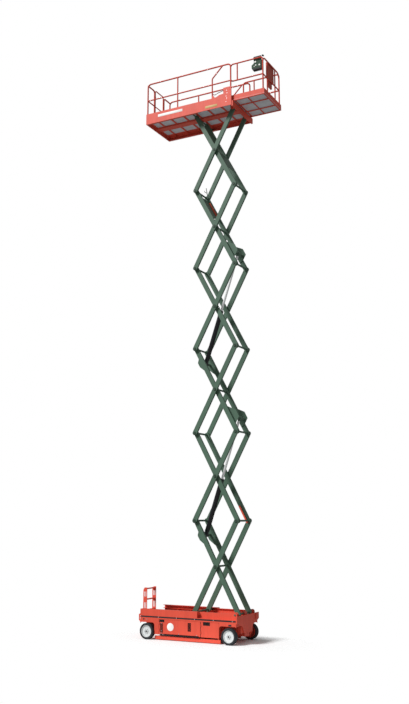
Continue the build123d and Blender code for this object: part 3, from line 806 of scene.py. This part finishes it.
class LIFT_OT_arm_pins(bpy.types.Operator):
    """Cap the pins of the scissor stack and add their keeper plates"""
    bl_idname = "lift.arm_pins"
    bl_label = "Arm pins"

    def pins_of(self, k):
        """Where section k's inner arms carry pins: the crossing, and the elbows below and above."""
        spots = [(-REACH / 2, level(k - 0.5))]
        if k > 1:
            spots.append((0, level(k - 1)))
        if k < SECTIONS:
            spots.append((-REACH, level(k)))
        return spots

    def execute(self, context):
        look, sizes = context.scene.lift_finish, context.scene.lift_pieces
        # Caps, keepers and their bolts in a darker green, partly painted shade at the joints
        dark = finish_named("pin_green", paint, tuple(c * PIN_PAINTED_SHADE for c in look.green), wear=0.8)
        r = sizes.cap_radius
        face = [(0, 0), (r, 0), (r, CAP_RIM), (r - CAP_EDGE, CAP_HEIGHT),
                (CAP_DIMPLE + DIMPLE_EDGE, CAP_HEIGHT), (CAP_DIMPLE, CAP_RIM), (0, CAP_RIM)]
        for k in range(1, SECTIONS + 1):
            caps = Piece("pin_caps_%d" % k)
            bolts = Piece("pin_bolts_%d" % k)
            for x, z in self.pins_of(k):
                for _, side in SIDES:
                    out = (0, side, 0)
                    caps.turned(face, facing(at(x, side * KEEPER_Y[0], z), out), 28)
                    caps.patch(side, (x - KEEPER_HALF, x + KEEPER_HALF), (z + KEEPER_Z[0], z + KEEPER_Z[1]),
                               KEEPER_Y, KEEPER_EDGE)
                    for dx in (-KEEPER_BOLT_X, KEEPER_BOLT_X):
                        spot = at(x + dx, side * KEEPER_BOLT_Y, z + KEEPER_BOLT_Z)
                        bolts.bolt(spot, out, KEEPER_BOLT_RADIUS)
            caps.set_on("inner_%d" % k, dark)
            bolts.set_on("inner_%d" % k, dark)
        return {"FINISHED"}


class LIFT_OT_prop_hook(bpy.types.Operator):
    """Stand the forked hook that holds the upper prop on its arm"""
    bl_idname = "lift.prop_hook"
    bl_label = "Prop hook"

    def execute(self, context):
        look = context.scene.lift_finish
        foot = at(*HOOK_FOOT)
        knee, tip, fork, fork_tip = (foot + Vector(reach) for reach in HOOK_REACHES)
        hook = Piece("prop_hook")
        hook.bent_bar([foot, knee, tip], HOOK_RADIUS)
        hook.bent_bar([knee, fork, fork_tip], FORK_RADIUS)
        hook.block(foot - Vector(HOOK_PAD_BELOW), foot + Vector(HOOK_PAD_ABOVE), HOOK_PAD_EDGE)
        # The hook takes the pins' darker green, which is partly painted shade
        dark = finish_named("pin_green", paint, tuple(c * PIN_PAINTED_SHADE for c in look.green))
        hook.set_on("inner_5", dark)
        return {"FINISHED"}


class LIFT_OT_cylinder_fittings(bpy.types.Operator):
    """Add wipers and clamp bands to the lift cylinders"""
    bl_idname = "lift.cylinder_fittings"
    bl_label = "Cylinder fittings"

    def execute(self, context):
        look = context.scene.lift_finish
        zinc = zinc_plate(look)
        black = bpy.data.materials["barrel_black"]
        tip = BARREL_END + WIPER_LENGTH
        wiper = [(WIPER_BORE, BARREL_END), (WIPER_RADIUS, BARREL_END), (WIPER_RADIUS, tip - WIPER_EDGE),
                 (WIPER_LIP, tip), (WIPER_BORE, tip)]
        for name in ("lower", "upper"):
            base = joint_place("cylinder_base_" + name)
            axis = Vector(JOINTS["cylinder_rod_" + name]["axis"])
            place = facing(base, axis)
            rings = Piece("barrel_wiper_" + name)
            rings.turned(wiper, place, 36)
            rings.set_on("barrel_" + name, zinc)
            bands = Piece("barrel_bands_" + name)
            for foot in BAND_PLACES:
                head = foot + BAND_WIDTH
                band = [(BAND_INNER, foot), (BAND_OUTER, foot), (BAND_OUTER, head), (BAND_INNER, head)]
                bands.turned(band, place, 36)
            bands.set_on("barrel_" + name, black)
        return {"FINISHED"}


class LIFT_OT_blank_plates(bpy.types.Operator):
    """Fix the blank plates to the sides of the platform"""
    bl_idname = "lift.blank_plates"
    bl_label = "Blank plates"

    def execute(self, context):
        look = context.scene.lift_finish
        white = white_plate(look)
        tan = plastic("small_plate", tuple(look.label), 0.4)
        long_plate = Piece("long_plates")
        small_plate = Piece("small_plates")
        for _, side in SIDES:
            long_plate.patch(side, *LONG_PLATE, PLATE_Y, PLATE_EDGE)
            small_plate.patch(side, *SMALL_PLATE, PLATE_Y, PLATE_EDGE)
        long_plate.set_on("platform", white)
        small_plate.set_on("platform", tan)
        return {"FINISHED"}


class LIFT_OT_platform_fittings(bpy.types.Operator):
    """Bolt the post plates and hang a lanyard wire beside each"""
    bl_idname = "lift.platform_fittings"
    bl_label = "Platform fittings"

    def execute(self, context):
        look, sizes = context.scene.lift_finish, context.scene.lift_pieces
        zinc = zinc_plate(look)
        bolts = Piece("post_bolts")
        wires = Piece("lanyard_hooks")
        for _, side in SIDES:
            for x, rise in POST_BOLTS:
                spot = at(x, side * (SKIRT_Y - SINK), FLOOR_Z + rise)
                bolts.bolt(spot, (0, side, 0), sizes.bolt_radius * POST_BOLT_SHARE)
            wires.bent_bar([at(x, side * LANYARD_Y, FLOOR_Z + rise) for x, rise in LANYARD], LANYARD_RADIUS)
        bolts.set_on("platform", zinc)
        # The lanyard wires take the darkened red as painted shade
        wires.set_on("platform", finish_named("shaded_red", paint, PAINTED_SHADE_RED))
        return {"FINISHED"}


class LIFT_OT_side_loop(bpy.types.Operator):
    """Bend the right-hand rail loop of the roll-out deck, beside the left one of the frame"""
    bl_idname = "lift.side_loop"
    bl_label = "Side loop"

    def execute(self, context):
        sizes = context.scene.lift_pieces
        front, rear = LOOP_X
        corners = [at(front, LOOP_Y, ROLL_FLOOR_Z), at(front, LOOP_Y, RAIL_Z), at(rear, LOOP_Y, RAIL_Z),
                   at(rear, LOOP_Y, MID_RAIL_Z), at(front, LOOP_Y, MID_RAIL_Z)]
        loop = Piece("side_loop")
        loop.pipe(corners, sizes.tube_radius, sizes.tube_bend)
        foot, head = (at(LOOP_POST_X, LOOP_Y, z) for z in (MID_RAIL_Z, RAIL_Z))
        loop.rod(foot, head, sizes.tube_radius - POST_EASE)
        loop.set_on("extension", bpy.data.materials["rail_red"])
        return {"FINISHED"}


class LIFT_OT_control_fittings(bpy.types.Operator):
    """Fit the lamps, the lever and the corner cap beside the control box"""
    bl_idname = "lift.control_fittings"
    bl_label = "Control fittings"

    def execute(self, context):
        look = context.scene.lift_finish
        white = white_plate(look)
        dark = pocket_black()
        lamps = Piece("control_lamps")
        for x, rise, r in LAMPS:
            face = button(r, LAMP_RIM, LAMP_EDGE, LAMP_HEIGHT, LAMP_CROWN)
            lamps.turned(face, facing(at(x, LAMP_Y, RAIL_Z + rise), (0, -1, 0)), 28)
        lamps.set_on("extension", white)
        lever = Piece("control_lever")
        foot = at(*LEVER_PLACE, RAIL_Z)
        lever.turned(LEVER_BOOT, facing(foot, (0, 0, 1)), 28)
        lever.rod(foot, foot + Vector((0, 0, LEVER_LENGTH)), LEVER_RADIUS, 16)
        lever.ball(foot + Vector((0, 0, KNOB_RISE)), KNOB_RADIUS)
        (x0, x1), (y0, y1), (rise0, rise1) = CORNER_CAP
        lever.block(at(x0, y0, RAIL_Z + rise0), at(x1, y1, RAIL_Z + rise1), CORNER_CAP_EDGE)
        lever.set_on("extension", dark)
        return {"FINISHED"}


class LIFT_OT_stage(bpy.types.Operator):
    """Lay the floor, place the lights and the camera"""
    bl_idname = "lift.stage"
    bl_label = "Stage"

    def execute(self, context):
        setup = context.scene.lift_stage
        self.lay_floor(context, setup)
        self.light(context, setup)
        optics = bpy.data.cameras.new("camera")
        optics.lens = setup.lens
        optics.sensor_width = 36
        optics.shift_y = setup.shift
        optics.clip_end = 2000
        camera = bpy.data.objects.new("camera", optics)
        camera.location = (setup.camera_x, setup.camera_y, setup.camera_z)
        camera.rotation_euler = (math.pi / 2 + setup.pitch, 0, setup.heading)
        context.scene.collection.objects.link(camera)
        context.scene.camera = camera
        context.scene.view_settings.view_transform = "Standard"
        return {"FINISHED"}

    def lay_floor(self, context, setup):
        sheet = bmesh.new()
        bmesh.ops.create_grid(sheet, x_segments=1, y_segments=1, size=setup.floor_reach)
        mesh = bpy.data.meshes.new("floor")
        sheet.to_mesh(mesh)
        sheet.free()
        floor = bpy.data.objects.new("floor", mesh)
        context.scene.collection.objects.link(floor)
        shader = Shader("floor_paint")
        x, y, _ = shader.axes()
        along, across = x * (1 / setup.floor_reach), y * (1 / setup.floor_width)
        near = shader.ramp((along * along + across * across).root(), [(0.55, 1.0), (0.98, 0.0)])
        solid = shader.node("ShaderNodeBsdfDiffuse", {}, {"Color": (*setup.floor, 1)})
        clear = shader.node("ShaderNodeBsdfTransparent", {}, {})
        surface = shader.node("ShaderNodeMixShader", {}, {0: near, 1: clear, 2: solid})
        shader.node("ShaderNodeOutputMaterial", {}, {0: surface}, output=None)
        mesh.materials.append(shader.material)

    def light(self, context, setup):
        world = bpy.data.worlds.new("soft_room")
        world.use_nodes = True
        tree = world.node_tree
        seen = tree.nodes["Background"]
        seen.inputs["Color"].default_value = (1.0, 1.0, 1.0, 1)
        seen.inputs["Strength"].default_value = 1.0
        glow = tree.nodes.new("ShaderNodeBackground")
        glow.inputs["Color"].default_value = (1.0, 1.0, 1.0, 1)
        glow.inputs["Strength"].default_value = setup.sky
        path = tree.nodes.new("ShaderNodeLightPath")
        choose = tree.nodes.new("ShaderNodeMixShader")
        tree.links.new(path.outputs["Is Camera Ray"], choose.inputs[0])
        tree.links.new(glow.outputs[0], choose.inputs[1])
        tree.links.new(seen.outputs[0], choose.inputs[2])
        tree.links.new(choose.outputs[0], tree.nodes["World Output"].inputs[0])
        context.scene.world = world
        sun = bpy.data.lights.new("key", "SUN")
        sun.energy = setup.key
        sun.angle = KEY_SPREAD
        lamp = bpy.data.objects.new("key", sun)
        lamp.rotation_euler = Vector(KEY_DIRECTION).to_track_quat("-Z", "Y").to_euler()
        context.scene.collection.objects.link(lamp)


class LIFT_PT_panel(bpy.types.Panel):
    bl_idname = "LIFT_PT_panel"
    bl_label = "Scissor Lift"
    bl_space_type = "VIEW_3D"
    bl_region_type = "UI"
    bl_category = "Lift"

    def draw(self, context):
        for operator in OPERATORS:
            self.layout.operator(operator.bl_idname)


OPERATORS = (LIFT_OT_paintwork, LIFT_OT_seam_strips, LIFT_OT_door_fittings, LIFT_OT_wheel_fittings,
             LIFT_OT_arm_pins, LIFT_OT_prop_hook, LIFT_OT_cylinder_fittings, LIFT_OT_blank_plates,
             LIFT_OT_platform_fittings, LIFT_OT_side_loop, LIFT_OT_control_fittings, LIFT_OT_stage)
GROUPS = {"lift_finish": LiftFinish, "lift_pieces": LiftPieces, "lift_stage": LiftStage}
CLASSES = (*GROUPS.values(), *OPERATORS, LIFT_PT_panel)


def register():
    for entry in CLASSES:
        bpy.utils.register_class(entry)
    for name, group in GROUPS.items():
        setattr(bpy.types.Scene, name, PointerProperty(type=group))


def unregister():
    for name in GROUPS:
        delattr(bpy.types.Scene, name)
    for entry in reversed(CLASSES):
        bpy.utils.unregister_class(entry)


def main():
    register()
    for operator in OPERATORS:
        group, action = operator.bl_idname.split(".")
        getattr(getattr(bpy.ops, group), action)()


if __name__ == "__main__":
    main()
